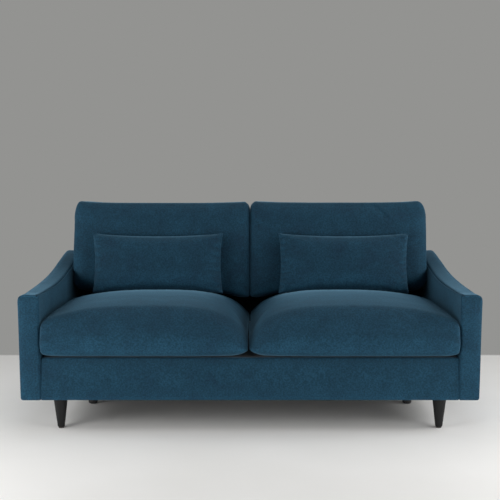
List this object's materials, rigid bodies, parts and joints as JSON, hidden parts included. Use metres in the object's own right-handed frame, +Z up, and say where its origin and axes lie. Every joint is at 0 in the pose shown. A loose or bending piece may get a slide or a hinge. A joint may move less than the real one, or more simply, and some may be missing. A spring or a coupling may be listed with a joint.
{
  "type": "two-seat sofa",
  "caption": "Upholstered two-seat sofa with scooped arms, loose crowned seat and back cushions, lumbar pillows and tapered dark wooden legs.",
  "frame": {"origin": "middle of the sofa on the floor", "axes": "+X along the sofa, to the right as seen from the front; +Y from front to back; +Z up"},
  "size_m": [1.74, 0.92, 0.846],
  "materials": {
    "velvet": "short-pile blue velvet",
    "platform_cloth": "woven platform cloth over felt",
    "dust_cloth": "black non-woven lining",
    "webbing": "woven elastic webbing",
    "foam_padding": "open-cell upholstery foam",
    "foam_filling": "fibre-wrapped foam",
    "leg_wood": "dark stained and lacquered hardwood",
    "frame_timber": "planed softwood",
    "plywood": "sanded plywood",
    "spring_steel": "drawn spring wire",
    "zinc_steel": "zinc-plated steel",
    "black_plastic": "moulded black polypropylene",
    "glide_felt": "pressed felt"
  },
  "bodies": {
    "frame": {"arm_bolts": "zinc_steel", "arm_tee_nuts": "zinc_steel", "back_bottom_rails": "frame_timber", "back_pad": "foam_padding", "back_posts": "frame_timber", "back_top_rails": "frame_timber", "back_webbing": "webbing", "bearers": "frame_timber", "centre_rail": "frame_timber", "corner_blocks": "frame_timber", "dust_cloth": "dust_cloth", "front_border_cover": "velvet", "front_border_pad": "foam_padding", "front_left_leg": "leg_wood", "front_rail": "frame_timber", "front_right_leg": "leg_wood", "inside_back_cover": "velvet", "left_arm_bottom_rail": "frame_timber", "left_arm_cover": "velvet", "left_arm_pad": "foam_padding", "left_arm_panels": "plywood", "left_arm_posts": "frame_timber", "left_arm_top_rail": "frame_timber", "left_side_rail": "frame_timber", "left_support_foot": "black_plastic", "leg_bolts": "zinc_steel", "leg_glides": "glide_felt", "leg_tee_nuts": "zinc_steel", "outside_back_cover": "velvet", "rear_bottom_rail": "frame_timber", "rear_left_leg": "leg_wood", "rear_right_leg": "leg_wood", "rear_seat_rail": "frame_timber", "right_arm_bottom_rail": "frame_timber", "right_arm_cover": "velvet", "right_arm_pad": "foam_padding", "right_arm_panels": "plywood", "right_arm_posts": "frame_timber", "right_arm_top_rail": "frame_timber", "right_side_rail": "frame_timber", "right_support_foot": "black_plastic", "seat_deck": "platform_cloth", "seat_springs": "spring_steel", "spring_clips": "spring_steel", "support_screws": "zinc_steel"},
    "left_seat_cushion": {"left_seat_cushion_cover": "velvet", "left_seat_cushion_fill": "foam_filling"},
    "left_back_cushion": {"left_back_cushion_cover": "velvet", "left_back_cushion_fill": "foam_filling"},
    "left_lumbar_pillow": {"left_lumbar_pillow_cover": "velvet", "left_lumbar_pillow_fill": "foam_filling"},
    "right_seat_cushion": {"right_seat_cushion_cover": "velvet", "right_seat_cushion_fill": "foam_filling"},
    "right_back_cushion": {"right_back_cushion_cover": "velvet", "right_back_cushion_fill": "foam_filling"},
    "right_lumbar_pillow": {"right_lumbar_pillow_cover": "velvet", "right_lumbar_pillow_fill": "foam_filling"}
  },
  "joints": [
    {"name": "left_seat_lift", "type": "slide", "parent": "frame", "child": "left_seat_cushion", "axis": [0, 0, 1], "range_m": [0, 0.35]},
    {"name": "left_back_lift", "type": "slide", "parent": "left_seat_cushion", "child": "left_back_cushion", "axis": [0, 0.1392, 0.9903], "range_m": [0, 0.36]},
    {"name": "left_pillow_lift", "type": "slide", "parent": "left_seat_cushion", "child": "left_lumbar_pillow", "axis": [0, 0.1392, 0.9903], "range_m": [0, 0.3]},
    {"name": "right_seat_lift", "type": "slide", "parent": "frame", "child": "right_seat_cushion", "axis": [0, 0, 1], "range_m": [0, 0.35]},
    {"name": "right_back_lift", "type": "slide", "parent": "right_seat_cushion", "child": "right_back_cushion", "axis": [0, 0.1392, 0.9903], "range_m": [0, 0.36]},
    {"name": "right_pillow_lift", "type": "slide", "parent": "right_seat_cushion", "child": "right_lumbar_pillow", "axis": [0, 0.1392, 0.9903], "range_m": [0, 0.3]}
  ]
}
